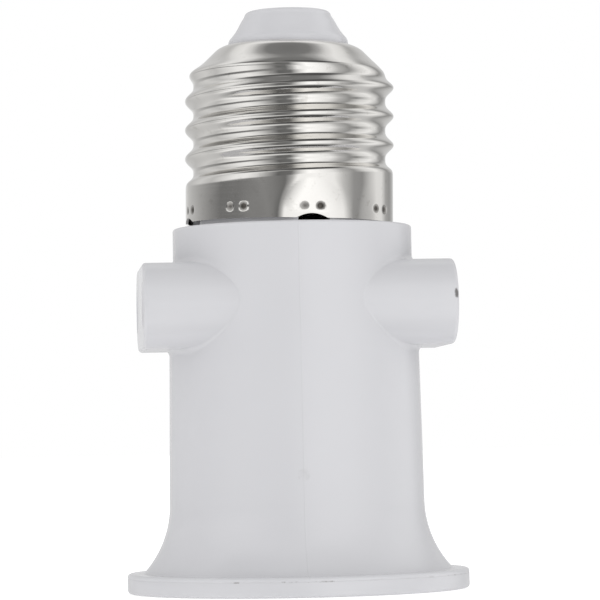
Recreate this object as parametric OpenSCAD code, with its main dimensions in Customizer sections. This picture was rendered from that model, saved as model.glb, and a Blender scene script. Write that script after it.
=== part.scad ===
// Lamp socket adapter: a male E27 screw cap on top, a two-pin outlet on each side
// and a female E27 lamp socket that opens downward inside the flared skirt.
// Millimetres, Z up. The origin is the middle of the rim's lower face, and the outlets point along X.

/* [Rim and flare] */
// Outer radius of the rim round the mouth
rim_r = 21.3; // [20.8:0.1:23]
// Thickness of the rim
rim_h = 2.44; // [1.8:0.02:3]
// Rounding of the rim's two outer edges
rim_edge = 0.4; // [0.2:0.05:0.6]
// Distance of the seam line below the rim's upper face
seam_drop = 0.56; // [0.5:0.02:1.2]
// Depth of the seam line
seam_depth = 0.1; // [0.05:0.01:0.2]
// Radius of the arc that the flare follows
flare_arc = 12.5; // [12:0.1:16]
// Height of the flare's upper end above the mouth
flare_h = 11; // [9:0.1:11.4]

/* [Body and collar] */
// Radius of the body just above the flare
body_r = 15.9; // [15.7:0.05:16.4]
// How much the body's radius shrinks on the way up to the collar
body_taper = 0.3; // [0.05:0.05:0.6]
// Wall of the body round the lamp shell
body_wall = 1.8; // [1.3:0.05:1.9]
// Height of the ledge that the socket base seats on
ledge_h = 29; // [27:0.1:34]
// Radius of the collar that carries the outlets
collar_r = 14.95; // [14.8:0.05:15.3]
// Wall of the collar round the contact chamber
collar_wall = 1.35; // [1:0.05:1.4]
// Height of the collar's shoulder above the ledge
collar_h = 16.24; // [15.6:0.1:20]
// Rounding of the shoulder's edge
collar_edge = 0.35; // [0.1:0.05:0.8]

/* [Outlets] */
// Distance between the two pins of a plug
pin_spacing = 19; // [18:0.1:19.4]
// Radius of the holes for the pins
pin_hole_r = 2.4; // [2.2:0.05:2.6]
// Width of the chamfer round each pin hole
pin_chamfer = 0.4; // [0.1:0.05:0.8]
// Distance from the middle to an outlet's end face
port_reach = 19.2; // [18:0.1:24]
// Half of an outlet's width
port_half_w = 13.24; // [13:0.05:14]
// Half of an outlet's height
port_half_h = 5.28; // [4.6:0.02:5.6]
// Height of the pins above the ledge
port_rise = 6.4; // [6.2:0.1:7]
// Rounding of an outlet's end
port_edge = 0.5; // [0.2:0.05:1]
// Height of the contact chamber above the ledge
chamber_h = 12.8; // [11.5:0.1:13.4]

/* [Screw cap] */
// Gap between the shoulder and the lower edge of the cap
cap_gap = 0.45; // [0.2:0.05:1]
// Radius of the cap's plain skirt
skirt_r = 13; // [12.8:0.02:13.2]
// Height of the plain skirt
skirt_h = 4.3; // [3.5:0.1:6]
// Pitch of the screw thread
thread_pitch = 3.629; // [3.4:0.01:3.8]
// Radius over the crests of the cap's thread
crest_r = 13.1; // [12.9:0.01:13.2]
// Radius at the roots of the cap's thread
root_r = 12.05; // [11.8:0.01:12.2]
// Height from the top of the skirt to the end of the thread
thread_l = 14.06; // [13:0.1:18]
// Height of a crest above the top of the skirt, on the +X side
crest_rise = 2.02; // [0:0.05:3.6]
// Rounding between the thread and the sloping end of the cap
dome_edge = 1.3; // [0.8:0.05:2]
// Radius where the sloping end of the cap turns flatter
dome_bend_r = 9.2; // [8.8:0.05:9.8]
// Radius of the hole in the end of the cap
dome_hole_r = 7.95; // [7.8:0.05:8.6]
// Thickness of the sheet metal of both screw shells
sheet = 0.35; // [0.25:0.01:0.45]
// How much thinner the sheet is where the thread is rolled
roll_thinning = 0.1; // [0.08:0.01:0.12]
// Clearance between sheet metal and the plastic that it sits on
shell_gap = 0.1; // [0.05:0.01:0.2]
// Turn of the first pair of stake marks from the front
stake_turn = 8.4; // [0:0.1:40]
// Height of the stake marks above the lower edge of the cap
stake_rise = 1.45; // [1.2:0.05:3]
// Distance between the two marks of a pair
stake_spacing = 2.05; // [1.6:0.05:3]
// Radius of the punch that made the stake marks
stake_punch = 0.7; // [0.5:0.05:0.9]
// Depth of the stake marks
stake_depth = 0.25; // [0.1:0.01:0.3]
// Width of the arched notches in the lower edge of the cap
notch_w = 4; // [2:0.1:6]
// Height of the arched notches
notch_h = 0.55; // [0.3:0.05:1]

/* [Neck and tip] */
// Wall of the neck inside the cap
neck_wall = 1.6; // [1.2:0.1:2.4]
// Height of the windows at the root of the neck
window_h = 1.6; // [1.3:0.05:2]
// Radius of the insulating tip where it leaves the cap
tip_base_r = 7.6; // [7:0.05:7.7]
// Radius of the tip's flat end
tip_end_r = 5.3; // [4.8:0.05:5.6]
// Height of the tip from where it leaves the cap
tip_h = 4.68; // [4.2:0.02:6]
// Thickness of the plastic under the centre contact
tip_wall = 2.4; // [1.6:0.1:3]

/* [Centre contact of the cap] */
// Radius of the contact's flange
contact_r = 3.3; // [2.5:0.1:3.6]
// Thickness of the contact's flange
contact_t = 0.5; // [0.3:0.05:0.8]
// Outer radius of the contact's hollow shank
contact_shank_r = 1.2; // [1:0.05:1.4]
// Radius of the hole through the contact
contact_bore_r = 0.65; // [0.6:0.01:0.75]
// Height of the solder dot above the contact
solder_h = 0.15; // [0.1:0.05:0.6]

/* [Lamp socket] */
// Thickness of the insulating socket base
base_h = 3.2; // [2.6:0.1:5]
// Clearance round the socket base
base_gap = 0.2; // [0.1:0.05:0.3]
// Depth of the lamp shell below its web
lamp_shell_l = 17.3; // [14:0.1:18]
// Radius to the crests inside the lamp shell
lamp_crest_r = 12.24; // [12.18:0.01:12.4]
// Radius to the roots inside the lamp shell
lamp_root_r = 13.32; // [13.25:0.01:13.4]
// Radius of the hole in the lamp shell's web
web_hole_r = 7.6; // [7.3:0.1:7.6]
// Distance of the tongue's slot from the middle
tongue_offset = 5.8; // [5.4:0.1:6.2]
// Width of the tongue
tongue_w = 4.2; // [3:0.1:4.6]
// Thickness of the tongue
tongue_t = 0.3; // [0.2:0.02:0.4]
// Length of the tongue's foot on top of the socket base
tongue_foot = 2.6; // [1.5:0.1:3]
// How far the tongue's contact point hangs below the socket base
tongue_drop = 3.1; // [2.4:0.1:4]
// Angle that the tongue gives way through when a lamp is screwed in
tongue_travel = 12; // [6:0.5:14]

/* [Contact bars] */
// Thickness of the brass strip
brass_t = 0.5; // [0.4:0.05:0.6]
// Gap between the two jaws of a pair
jaw_gap = 3.7; // [3.5:0.05:3.9]
// Height of the jaws
jaw_h = 9; // [8.5:0.1:10]
// Distance of the jaws from the middle of a bar
jaw_start = 1.4; // [1.2:0.1:2]
// Height of the tab that a wire is soldered to
tab_h = 3.6; // [3:0.1:4]
// Width of the tab
tab_w = 1.5; // [1.2:0.1:1.6]

/* [Rivets and screws] */
// Radius of the rivets' shanks
rivet_r = 1; // [0.8:0.05:1.1]
// Radius of the rivets' heads
rivet_head_r = 1.7; // [1.5:0.05:1.8]
// Height of the rivets' heads
rivet_head_h = 0.6; // [0.4:0.05:0.8]
// Distance of the live rivet from the middle
live_rivet_offset = 4.8; // [4.4:0.1:5]
// Radius of the base screws' shanks
screw_r = 1.2; // [1:0.05:1.4]
// Radius of the base screws' heads
screw_head_r = 2; // [1.8:0.05:2.1]
// Height of the base screws' heads
screw_head_h = 1.4; // [1:0.1:1.8]
// Length of the base screws in the housing
screw_grip = 7.5; // [5:0.5:9]
// Clearance round rivets and screws in their holes
hole_gap = 0.05; // [0.02:0.01:0.1]

/* [Wires] */
// Radius of a bare conductor
core_r = 0.45; // [0.35:0.01:0.5]
// Outer radius of a wire's insulation
sleeve_r = 1; // [0.85:0.01:1.05]
// Clearance between a conductor and its insulation
core_gap = 0.1; // [0.06:0.01:0.15]

/* [Hidden] */
$fn = 96;

// How far cuts run past the surface that they cut
over = 0.5;
// Even turn and quarter turn, in degrees
full_turn = 360;
quarter_turn = 90;

// Heights, from the mouth up
flare_steps = 14;
edge_steps = 5;
socket_bore_r = body_r - body_wall;
flare_axis_r = body_r + flare_arc;
body_end_r = body_r - body_taper;
blend_steps = 8;
blend_l = 2 * port_half_h;
pin_z = ledge_h + port_rise;
blend_z = pin_z - port_half_h;
chamber_z = ledge_h + chamber_h;
collar_z = ledge_h + collar_h;
cap_z = collar_z + cap_gap;
thread_z = cap_z + skirt_h;
dome_z = thread_z + thread_l;
base_z = ledge_h - base_h;
web_z = base_z - sheet;

// Outlets and the chamber between them
pin_y = pin_spacing / 2;
port_arc_y = port_half_w - port_half_h;
chamber_r = collar_r - collar_wall;
chamber_margin = 0.08;
chamber_half_l = sqrt(pow(chamber_r, 2) - pow(pin_y + pin_hole_r, 2)) - chamber_margin;

// The cap's end slopes at 45 degrees, so radius plus height is constant along it, then turns flatter
dome_slope = 45;
end_slope = 26;
bend_slope = (dome_slope + end_slope) / 2;
bend_mitre = 1 / cos((dome_slope - end_slope) / 2);
thread_seat = 0.03;
rolled_sheet = sheet - roll_thinning;
dome_line = root_r - dome_edge + dome_edge * sqrt(2) + dome_z;
bend_z = dome_line - dome_bend_r;
cap_end_z = bend_z + (dome_bend_r - dome_hole_r) * tan(end_slope);
neck_inset = sheet + shell_gap;
neck_skirt_r = skirt_r - neck_inset;
neck_thread_r = root_r - neck_inset;
neck_bend_r = dome_bend_r - neck_inset * bend_mitre * sin(bend_slope);
neck_bend_z = bend_z - neck_inset * bend_mitre * cos(bend_slope);
neck_bore_r = neck_thread_r - neck_wall;
neck_bore_half_l = chamber_half_l - 0.2;
neck_bore_z = dome_z - neck_wall;
tip_base_z = neck_bend_z + (neck_bend_r - tip_base_r) * tan(end_slope);
tip_z = tip_base_z + tip_h;
tip_bore_r = 3;
tip_bore_z = tip_z - tip_wall;
tip_round = 0.6;

// The tip's side, as shares of the way from its base to its end and of its height
tip_side = [[0, 0], [0.04, 0.2], [0.44, 0.47], [0.69, 0.69], [0.93, 0.89]];

// Stake marks and notches, as angles from +X
stake_pairs = 8;
notch_count = 4;
stake_start = stake_turn - quarter_turn;
stake_half_angle = asin(stake_spacing / 2 / skirt_r);
stake_centre_r = skirt_r + stake_punch - stake_depth;
notch_arc = (pow(notch_w / 2, 2) + pow(notch_h, 2)) / (2 * notch_h);
wire_window_angle = stake_start + 2 * quarter_turn;
groove_w = 2 * core_r + 0.3;
groove_depth = 2 * core_r + 0.15;
groove_top = thread_z - 0.3;

// Tongue and what makes room for it
tongue_foot_gap = 0.06;
tongue_pivot_z = ledge_h - base_h / 2;
slot_half_l = tongue_t / 2 + base_h / 2 * sin(tongue_travel) + 0.12;
slot_half_w = tongue_w / 2 + 0.2;
finger_z = ledge_h + tongue_foot_gap + tongue_t + tongue_foot * sin(tongue_travel) + 0.1;

// Contact bars
bar_half_l = chamber_half_l - 0.4;
jaw_back = jaw_gap / 2 + brass_t;
bar_inner_y = pin_y - jaw_back;
bar_outer_y = pin_y + jaw_back;
jaw_lead = 0.7;
jaw_lead_depth = 0.35;
solder_gap = 0.06;
wire_tab_y = bar_inner_y - core_r - solder_gap;

// Radius inside the plain band where the lamp shell meets its web
lamp_band_r = lamp_root_r - 0.3;

// Screws
screw_offset = lamp_crest_r - screw_head_r - 0.64;

// Threads are drawn as rings of points
thread_sides = 40;
lamp_thread_sides = 36;
rings_per_pitch = 8;
lamp_rings_per_pitch = 6;
wire_sides = 10;
wire_steps = 4;

function smooth_step(from, to, x) =
    let(t = min(1, max(0, (x - from) / (to - from))))
    t * t * (3 - 2 * t);

function unit(v) = v / norm(v);

function left_of(v) = [-v[1], v[0]];

// Points of an arc, as radius and height
function arc(centre, radius, from, to, steps) =
    [
        for (i = [0:steps])
            let(angle = from + (to - from) * i / steps)
            centre + radius * [cos(angle), sin(angle)]
    ];

// Radius of the flare's outer or inner face at a height
function flare_radius(arc_radius, z) = flare_axis_r - sqrt(pow(arc_radius, 2) - pow(flare_h - z, 2));

function flare_points(arc_radius, from_z) =
    [
        for (i = [0:flare_steps])
            let(z = from_z + (flare_h - from_z) * i / flare_steps)
            [flare_radius(arc_radius, z), z]
    ];

// A bent strip: the outline of a line of points given a thickness
function bend(p, i, d) =
    let(
        before = unit(p[max(i, 1)] - p[max(i, 1) - 1]),
        after = i == len(p) - 1 ? before : unit(p[i + 1] - p[i]),
        n = unit(left_of(before) + left_of(after))
    )
    p[i] + n * d / (n * left_of(after));

function strip_outline(p, t) =
    concat(
        [for (i = [0:len(p) - 1]) bend(p, i, t / 2)],
        [for (i = [len(p) - 1:-1:0]) bend(p, i, -t / 2)]
    );

// A smooth curve through points
function curve_point(a, b, c, d, t) =
    0.5 * (2 * b + (c - a) * t + (2 * a - 5 * b + 4 * c - d) * t * t + (3 * b - a - 3 * c + d) * t * t * t);

function curve(p) =
    let(last = len(p) - 1, q = concat([2 * p[0] - p[1]], p, [2 * p[last] - p[last - 1]]))
    concat(
        [
            for (i = [1:last])
                for (s = [0:wire_steps - 1])
                    curve_point(q[i - 1], q[i], q[i + 1], q[i + 2], s / wire_steps)
        ],
        [p[last]]
    );

// Share of a thread's height at a height above its crest on +X; it rises as it turns to the left
function thread_share(z, angle) = (1 + cos(full_turn * z / thread_pitch - angle)) / 2;

function ring(radii, z) =
    let(n = len(radii))
    [for (k = [0:n - 1]) [radii[k] * cos(full_turn * k / n), radii[k] * sin(full_turn * k / n), z]];

function even_ring(r, z, sides) = ring([for (k = [0:sides - 1]) r], z);

// Outer radius of the cap: plain skirt, rolled thread, then the root radius up to the end
function cap_radius(z, angle) =
    let(
        skirt_share = 1 - smooth_step(thread_z + 0.4, thread_z + 1.6, z),
        end_share = smooth_step(dome_z - 1.2, dome_z - 0.1, z)
    )
    root_r
    + (skirt_r - thread_seat - root_r) * skirt_share
    + (crest_r - root_r) * (1 - skirt_share) * (1 - end_share)
    * thread_share(z - thread_z - crest_rise, angle);

// Inner radius of the lamp shell: a plain lip at the mouth, the thread, and a plain band at the web
function lamp_radius(z, angle) =
    let(
        lip = 1 - smooth_step(web_z - lamp_shell_l + 0.6, web_z - lamp_shell_l + 1.8, z),
        band = smooth_step(web_z - 1.8, web_z - 0.4, z)
    )
    lamp_root_r
    - (lamp_root_r - lamp_crest_r) * (1 - thread_share(z, angle)) * (1 - lip) * (1 - band)
    - (lamp_root_r - lamp_band_r) * band;

// A block between two corners
module block(from, to) translate(from) cube(to - from);

// A thin closed wall through rings of points, which are joined in order and back to the first
module wall(rings) {
    sides = len(rings[0]);
    count = len(rings);
    polyhedron(
        points = [for (r = rings) for (p = r) p],
        faces = [
            for (i = [0:count - 1]) for (k = [0:sides - 1])
                let(a = i * sides, b = ((i + 1) % count) * sides, l = (k + 1) % sides)
                each [[a + k, b + l, a + l], [a + k, b + k, b + l]]
        ],
        convexity = 10
    );
}

// A solid through rings of points with its two ends closed
module rod(rings) {
    sides = len(rings[0]);
    last = len(rings) - 1;
    polyhedron(
        points = [for (r = rings) for (p = r) p],
        faces = concat(
            [
                for (i = [0:last - 1]) for (k = [0:sides - 1])
                    let(a = i * sides, b = a + sides, l = (k + 1) % sides)
                    each [[a + k, b + l, a + l], [a + k, b + k, b + l]]
            ],
            [[for (k = [0:sides - 1]) k]],
            [[for (k = [sides - 1:-1:0]) last * sides + k]]
        ),
        convexity = 4
    );
}

// The part of the housing's outline above the shoulder, which lies inside the cap
function neck_points() = concat(
    [[neck_skirt_r, collar_z], [neck_skirt_r, thread_z], [neck_thread_r, thread_z + 1.2]],
    arc([root_r - dome_edge, dome_z], dome_edge - neck_inset, 0, dome_slope, edge_steps),
    [[neck_bend_r, neck_bend_z]],
    [for (p = tip_side) [tip_base_r - (tip_base_r - tip_end_r) * p[0], tip_base_z + tip_h * p[1]]],
    arc(
        [tip_end_r - 0.75 * tip_round, tip_z - tip_round],
        tip_round,
        quarter_turn / 9,
        quarter_turn,
        edge_steps
    ),
    [[0, tip_z]]
);

function body_points() = concat(
    [[0, 0]],
    arc([rim_r - rim_edge, rim_edge], rim_edge, -quarter_turn, 0, edge_steps),
    [
        [rim_r, rim_h - seam_drop - seam_depth],
        [rim_r - seam_depth, rim_h - seam_drop],
        [rim_r, rim_h - seam_drop + seam_depth]
    ],
    arc([rim_r - rim_edge, rim_h - rim_edge], rim_edge, 0, quarter_turn, edge_steps),
    flare_points(flare_arc, rim_h),
    [
        for (i = [0:blend_steps])
            let(s = i / blend_steps)
            [body_end_r + (collar_r - body_end_r) * smooth_step(0, 1, s), blend_z + blend_l * s]
    ],
    arc([collar_r - collar_edge, collar_z - collar_edge], collar_edge, 0, quarter_turn, edge_steps)
);

module housing_outside() {
    rotate_extrude() polygon(concat(body_points(), neck_points()));
    for (side = [0, 1]) mirror([side, 0, 0]) port();
}

// One outlet: two round ends with rounded edges and a flat piece between them
module port() {
    edge = arc([port_half_h - port_edge, port_reach - port_edge], port_edge, 0, quarter_turn, edge_steps);
    translate([0, 0, pin_z]) {
        for (side = [-1, 1])
            translate([0, side * port_arc_y, 0]) rotate([0, quarter_turn, 0])
                rotate_extrude() polygon(concat([[0, 0], [port_half_h, 0]], edge, [[0, port_reach]]));
        rotate([quarter_turn, 0, 0]) linear_extrude(2 * port_arc_y, center = true)
            polygon(concat(
                [[0, -port_half_h]],
                [for (i = [edge_steps:-1:0]) [edge[edge_steps - i][1], -edge[edge_steps - i][0]]],
                [for (i = [edge_steps:-1:0]) [edge[i][1], edge[i][0]]],
                [[0, port_half_h]]
            ));
    }
}

// The space that the lamp, its shell and the socket base go into
module socket_space() {
    rotate_extrude() polygon(concat(
        [[0, -over], [flare_radius(flare_arc + body_wall, 0), -over]],
        flare_points(flare_arc + body_wall, 0),
        [[socket_bore_r, ledge_h], [0, ledge_h]]
    ));
}

module contact_space() {
    intersection() {
        translate([0, 0, ledge_h - over]) cylinder(r = chamber_r, h = chamber_h + over);
        block([-chamber_half_l, -collar_r, 0], [chamber_half_l, collar_r, chamber_z]);
    }
    intersection() {
        translate([0, 0, chamber_z - over]) cylinder(r = neck_bore_r, h = neck_bore_z - chamber_z + over);
        block([-neck_bore_half_l, -collar_r, 0], [neck_bore_half_l, collar_r, neck_bore_z]);
    }
    rotate_extrude() polygon([
        [0, neck_bore_z - over], [neck_bore_half_l, neck_bore_z - over], [neck_bore_half_l, neck_bore_z],
        [tip_bore_r, tip_bore_z], [0, tip_bore_z]
    ]);
}

// Holes for a plug's pins, each chamfered where a pin goes in
module pin_holes() {
    for (side = [0, 1]) mirror([side, 0, 0])
        for (y = [-pin_y, pin_y])
            translate([0, y, pin_z]) rotate([0, quarter_turn, 0]) {
                translate([0, 0, chamber_half_l - over]) cylinder(r = pin_hole_r, h = port_reach);
                translate([0, 0, port_reach - pin_chamfer])
                    cylinder(r1 = pin_hole_r, r2 = pin_hole_r + 2 * pin_chamfer, h = 2 * pin_chamfer);
            }
}

module neck_windows() {
    for (k = [0:notch_count - 1])
        rotate([0, 0, stake_start + k * quarter_turn])
            block(
                [neck_bore_half_l - over, -notch_w / 2, collar_z + 0.1],
                [skirt_r, notch_w / 2, collar_z + 0.1 + window_h]
            );
}

// The groove in the neck's side where the neutral conductor lies against the cap
module wire_groove() {
    rotate([0, 0, wire_window_angle])
        block(
            [neck_skirt_r - groove_depth, -groove_w / 2, collar_z + window_h - over],
            [skirt_r, groove_w / 2, groove_top]
        );
}

// Places of the stake marks, at the radius of the punch's centre
module at_stakes() {
    for (k = [0:stake_pairs - 1]) for (side = [-1, 1])
        rotate([0, 0, stake_start + k * full_turn / stake_pairs + side * stake_half_angle])
            translate([stake_centre_r, 0, cap_z + stake_rise]) children();
}

module screw_holes() {
    for (x = [-screw_offset, screw_offset])
        translate([x, 0, ledge_h - over]) cylinder(r = screw_r + hole_gap, h = screw_grip + over + 1);
}

module housing() color("whitesmoke") difference() {
    housing_outside();
    socket_space();
    contact_space();
    pin_holes();
    neck_windows();
    wire_groove();
    screw_holes();
    at_stakes() sphere(r = stake_punch + sheet + shell_gap, $fn = 32);
    translate([0, 0, tip_z - contact_t]) cylinder(r = contact_r + shell_gap, h = contact_t + over);
    translate([0, 0, tip_bore_z - over]) cylinder(r = contact_shank_r + hole_gap, h = tip_wall + over);
}

// Plain skirt of the cap, with its stake marks and arched notches
module cap_skirt() {
    difference() {
        union() {
            difference() {
                translate([0, 0, cap_z]) cylinder(r = skirt_r, h = skirt_h);
                translate([0, 0, cap_z - over]) cylinder(r = skirt_r - sheet, h = skirt_h + 2 * over);
            }
            intersection() {
                at_stakes() sphere(r = stake_punch + sheet, $fn = 32);
                translate([0, 0, cap_z]) cylinder(r = skirt_r - sheet / 2, h = skirt_h);
            }
        }
        at_stakes() sphere(r = stake_punch, $fn = 32);
        for (k = [0:notch_count - 1])
            rotate([0, 0, stake_start + k * quarter_turn])
                translate([skirt_r - 2, 0, cap_z + notch_h - notch_arc])
                    rotate([0, quarter_turn, 0]) cylinder(r = notch_arc, h = 4);
    }
}

// Threaded part of the cap and its sloping end
module cap_thread() {
    count = ceil(thread_l / thread_pitch * rings_per_pitch);
    heights = [for (i = [0:count]) thread_z + thread_l * i / count];
    angles = [for (k = [0:thread_sides - 1]) full_turn * k / thread_sides];
    mitre = rolled_sheet * bend_mitre;
    edge_centre = [root_r - dome_edge, dome_z];
    edge_start = dome_slope / edge_steps;
    edge = arc(edge_centre, dome_edge, edge_start, dome_slope, edge_steps - 1);
    inner_edge = arc(edge_centre, dome_edge - rolled_sheet, edge_start, dome_slope, edge_steps - 1);
    hole_drop = rolled_sheet * cos(end_slope);
    hole_mitre = rolled_sheet * sin(end_slope);
    outside = concat(
        [for (z = heights) ring([for (a = angles) cap_radius(z, a)], z)],
        [for (p = edge) even_ring(p[0], p[1], thread_sides)],
        [even_ring(dome_bend_r, bend_z, thread_sides)],
        [even_ring(dome_hole_r, cap_end_z, thread_sides)]
    );
    inside = concat(
        [for (z = heights) ring([for (a = angles) cap_radius(z, a) - rolled_sheet], z)],
        [for (p = inner_edge) even_ring(p[0], p[1], thread_sides)],
        [even_ring(dome_bend_r - mitre * sin(bend_slope), bend_z - mitre * cos(bend_slope), thread_sides)],
        [even_ring(dome_hole_r - hole_mitre, cap_end_z - hole_drop, thread_sides)]
    );
    wall(concat(outside, [for (i = [len(inside) - 1:-1:0]) inside[i]]));
}

module cap_shell() color("silver") {
    cap_skirt();
    cap_thread();
}

// Hollow rivet in the tip, with its flange let into the plastic
module cap_contact() color("goldenrod") {
    flare_r = contact_shank_r + 0.6;
    rotate_extrude() polygon([
        [contact_bore_r, tip_bore_z - 0.4],
        [flare_r, tip_bore_z - 0.4],
        [flare_r, tip_bore_z],
        [contact_shank_r, tip_bore_z],
        [contact_shank_r, tip_z - contact_t],
        [contact_r, tip_z - contact_t],
        [contact_r, tip_z],
        [contact_bore_r, tip_z]
    ]);
}

module tip_solder() color("lightgray") {
    dot_r = 1.5;
    rotate_extrude() polygon(concat(
        [[0, tip_z]],
        [
            for (i = [0:edge_steps])
                let(angle = quarter_turn * i / edge_steps)
                [dot_r * cos(angle), tip_z + solder_h * sin(angle)]
        ]
    ));
}

module socket_base() color("antiquewhite") difference() {
    translate([0, 0, base_z]) cylinder(r = socket_bore_r - base_gap, h = base_h);
    block(
        [-tongue_offset - slot_half_l, -slot_half_w, base_z - over],
        [-tongue_offset + slot_half_l, slot_half_w, ledge_h + over]
    );
    for (x = [-screw_offset, screw_offset])
        translate([x, 0, base_z - over]) cylinder(r = screw_r + hole_gap, h = base_h + 2 * over);
    for (y = [-live_rivet_offset, pin_y])
        translate([0, y, base_z - over]) cylinder(r = rivet_r + hole_gap, h = base_h + 2 * over);
}

// Female screw shell, with a flat web that is riveted and screwed to the socket base
module lamp_shell() color("silver") {
    count = ceil(lamp_shell_l / thread_pitch * lamp_rings_per_pitch);
    heights = [for (i = [0:count]) web_z - lamp_shell_l * (1 - i / count)];
    angles = [for (k = [0:lamp_thread_sides - 1]) full_turn * k / lamp_thread_sides];
    inside = [for (z = heights) ring([for (a = angles) lamp_radius(z, a)], z)];
    outside = [for (z = heights) ring([for (a = angles) lamp_radius(z, a) + rolled_sheet], z)];
    wall(concat(outside, [for (i = [count:-1:0]) inside[i]]));
    difference() {
        translate([0, 0, web_z]) cylinder(r = lamp_band_r + sheet, h = sheet);
        translate([0, 0, web_z - over]) cylinder(r = web_hole_r, h = sheet + 2 * over);
        for (x = [-screw_offset, screw_offset])
            translate([x, 0, web_z - over]) cylinder(r = screw_r + hole_gap, h = sheet + 2 * over);
        translate([0, pin_y, web_z - over]) cylinder(r = rivet_r + hole_gap, h = sheet + 2 * over);
    }
}

// Sprung leaf that a lamp's end contact presses up; its foot lies on top of the socket base
module lamp_tongue() color("peru") {
    foot_z = ledge_h + tongue_foot_gap + tongue_t / 2;
    line = [
        [-tongue_offset + tongue_foot, foot_z],
        [-tongue_offset, foot_z],
        [-tongue_offset, base_z - tongue_t - 0.2],
        [1, base_z - tongue_drop],
        [2.4, base_z - tongue_drop + 0.4]
    ];
    rotate([quarter_turn, 0, 0])
        linear_extrude(tongue_w, center = true)
            polygon(strip_outline(line, tongue_t));
}

// One pair of jaws and half of the strip that carries it, for pins on the +Y side
module jaw_pair() {
    leaf = [
        [jaw_start, jaw_back],
        [bar_half_l, jaw_back],
        [bar_half_l, jaw_gap / 2 + jaw_lead_depth],
        [bar_half_l - jaw_lead, jaw_gap / 2],
        [jaw_start, jaw_gap / 2]
    ];
    translate([0, pin_y, ledge_h]) for (side = [0, 1]) mirror([0, side, 0])
        linear_extrude(jaw_h) polygon(leaf);
}

// A stamped bar with a pair of jaws for each outlet, on the +Y side
module contact_bar(tab_x) {
    block([-bar_half_l, bar_inner_y, ledge_h], [bar_half_l, bar_outer_y, ledge_h + brass_t]);
    for (side = [0, 1]) mirror([side, 0, 0]) jaw_pair();
    block(
        [tab_x - tab_w / 2, bar_inner_y, ledge_h],
        [tab_x + tab_w / 2, bar_inner_y + brass_t, ledge_h + brass_t + tab_h]
    );
}

module neutral_contact_bar() color("gold") difference() {
    contact_bar(-wire_tab_y * tan(stake_turn));
    translate([0, pin_y, ledge_h - over]) cylinder(r = rivet_r + hole_gap, h = brass_t + 2 * over);
}

// The live bar also has a foot on the socket base and a finger above the tongue's foot
module live_contact_bar() color("gold") difference() {
    foot_x = rivet_head_r + 0.4;
    finger_y = tongue_w / 2 + 0.3;
    finger_x = -tongue_offset + 1;
    finger_top_z = finger_z + brass_t;
    union() {
        mirror([0, 1, 0]) contact_bar(0);
        block([finger_x, -bar_inner_y, ledge_h], [foot_x, -finger_y, ledge_h + brass_t]);
        block([finger_x, -finger_y - brass_t, ledge_h], [-foot_x, -finger_y, finger_top_z]);
        block([finger_x, -finger_y - brass_t, finger_z], [-foot_x, tongue_w / 3, finger_top_z]);
    }
    translate([0, -live_rivet_offset, ledge_h - over])
        cylinder(r = rivet_r + hole_gap, h = brass_t + 2 * over);
}

// A rivet from the underside of one sheet to the top of a bar
module rivet(head_z) {
    top_z = ledge_h + brass_t;
    translate([0, 0, head_z - rivet_head_h])
        cylinder(r1 = rivet_head_r - 0.3, r2 = rivet_head_r, h = rivet_head_h);
    translate([0, 0, head_z - over / 2]) cylinder(r = rivet_r, h = top_z - head_z + over);
    translate([0, 0, top_z]) cylinder(r1 = rivet_head_r - 0.1, r2 = rivet_head_r - 0.4, h = rivet_head_h);
}

module live_rivet() color("goldenrod") translate([0, -live_rivet_offset, 0]) rivet(base_z);

module neutral_rivet() color("goldenrod") translate([0, pin_y, 0]) rivet(web_z);

// A pan-head screw that goes up through the web and the base into the housing
module base_screw(x) color("darkgray") difference() {
    translate([x, 0, 0]) {
        translate([0, 0, web_z - screw_head_h])
            cylinder(r1 = screw_head_r - 0.4, r2 = screw_head_r, h = screw_head_h);
        translate([0, 0, web_z - over]) cylinder(r = screw_r, h = ledge_h - web_z + screw_grip + over);
    }
    for (turn = [0, quarter_turn])
        translate([x, 0, web_z - screw_head_h]) rotate([0, 0, turn])
            cube([screw_head_r * 1.3, 0.5, screw_head_h * 1.1], center = true);
}

module base_screw_left() base_screw(-screw_offset);

module base_screw_right() base_screw(screw_offset);

// A conductor or its insulation along a curve in a plane through the axis
function wire_rings(path, r) = [
    for (i = [0:len(path) - 1])
        let(
            t = unit(path[min(i + 1, len(path) - 1)] - path[max(i - 1, 0)]),
            n = left_of(t)
        )
        [
            for (k = [0:wire_sides - 1])
                let(a = full_turn * k / wire_sides)
                [path[i][0] + r * cos(a) * n[0], r * sin(a), path[i][1] + r * cos(a) * n[1]]
        ]
];

module core(path) rod(wire_rings(path, core_r));

module sleeve(path, from, to) {
    part = [for (i = [from:len(path) - 1 - to]) path[i]];
    outside = wire_rings(part, sleeve_r);
    inside = wire_rings(part, core_r + core_gap);
    wall(concat(outside, [for (i = [len(inside) - 1:-1:0]) inside[i]]));
}

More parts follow.
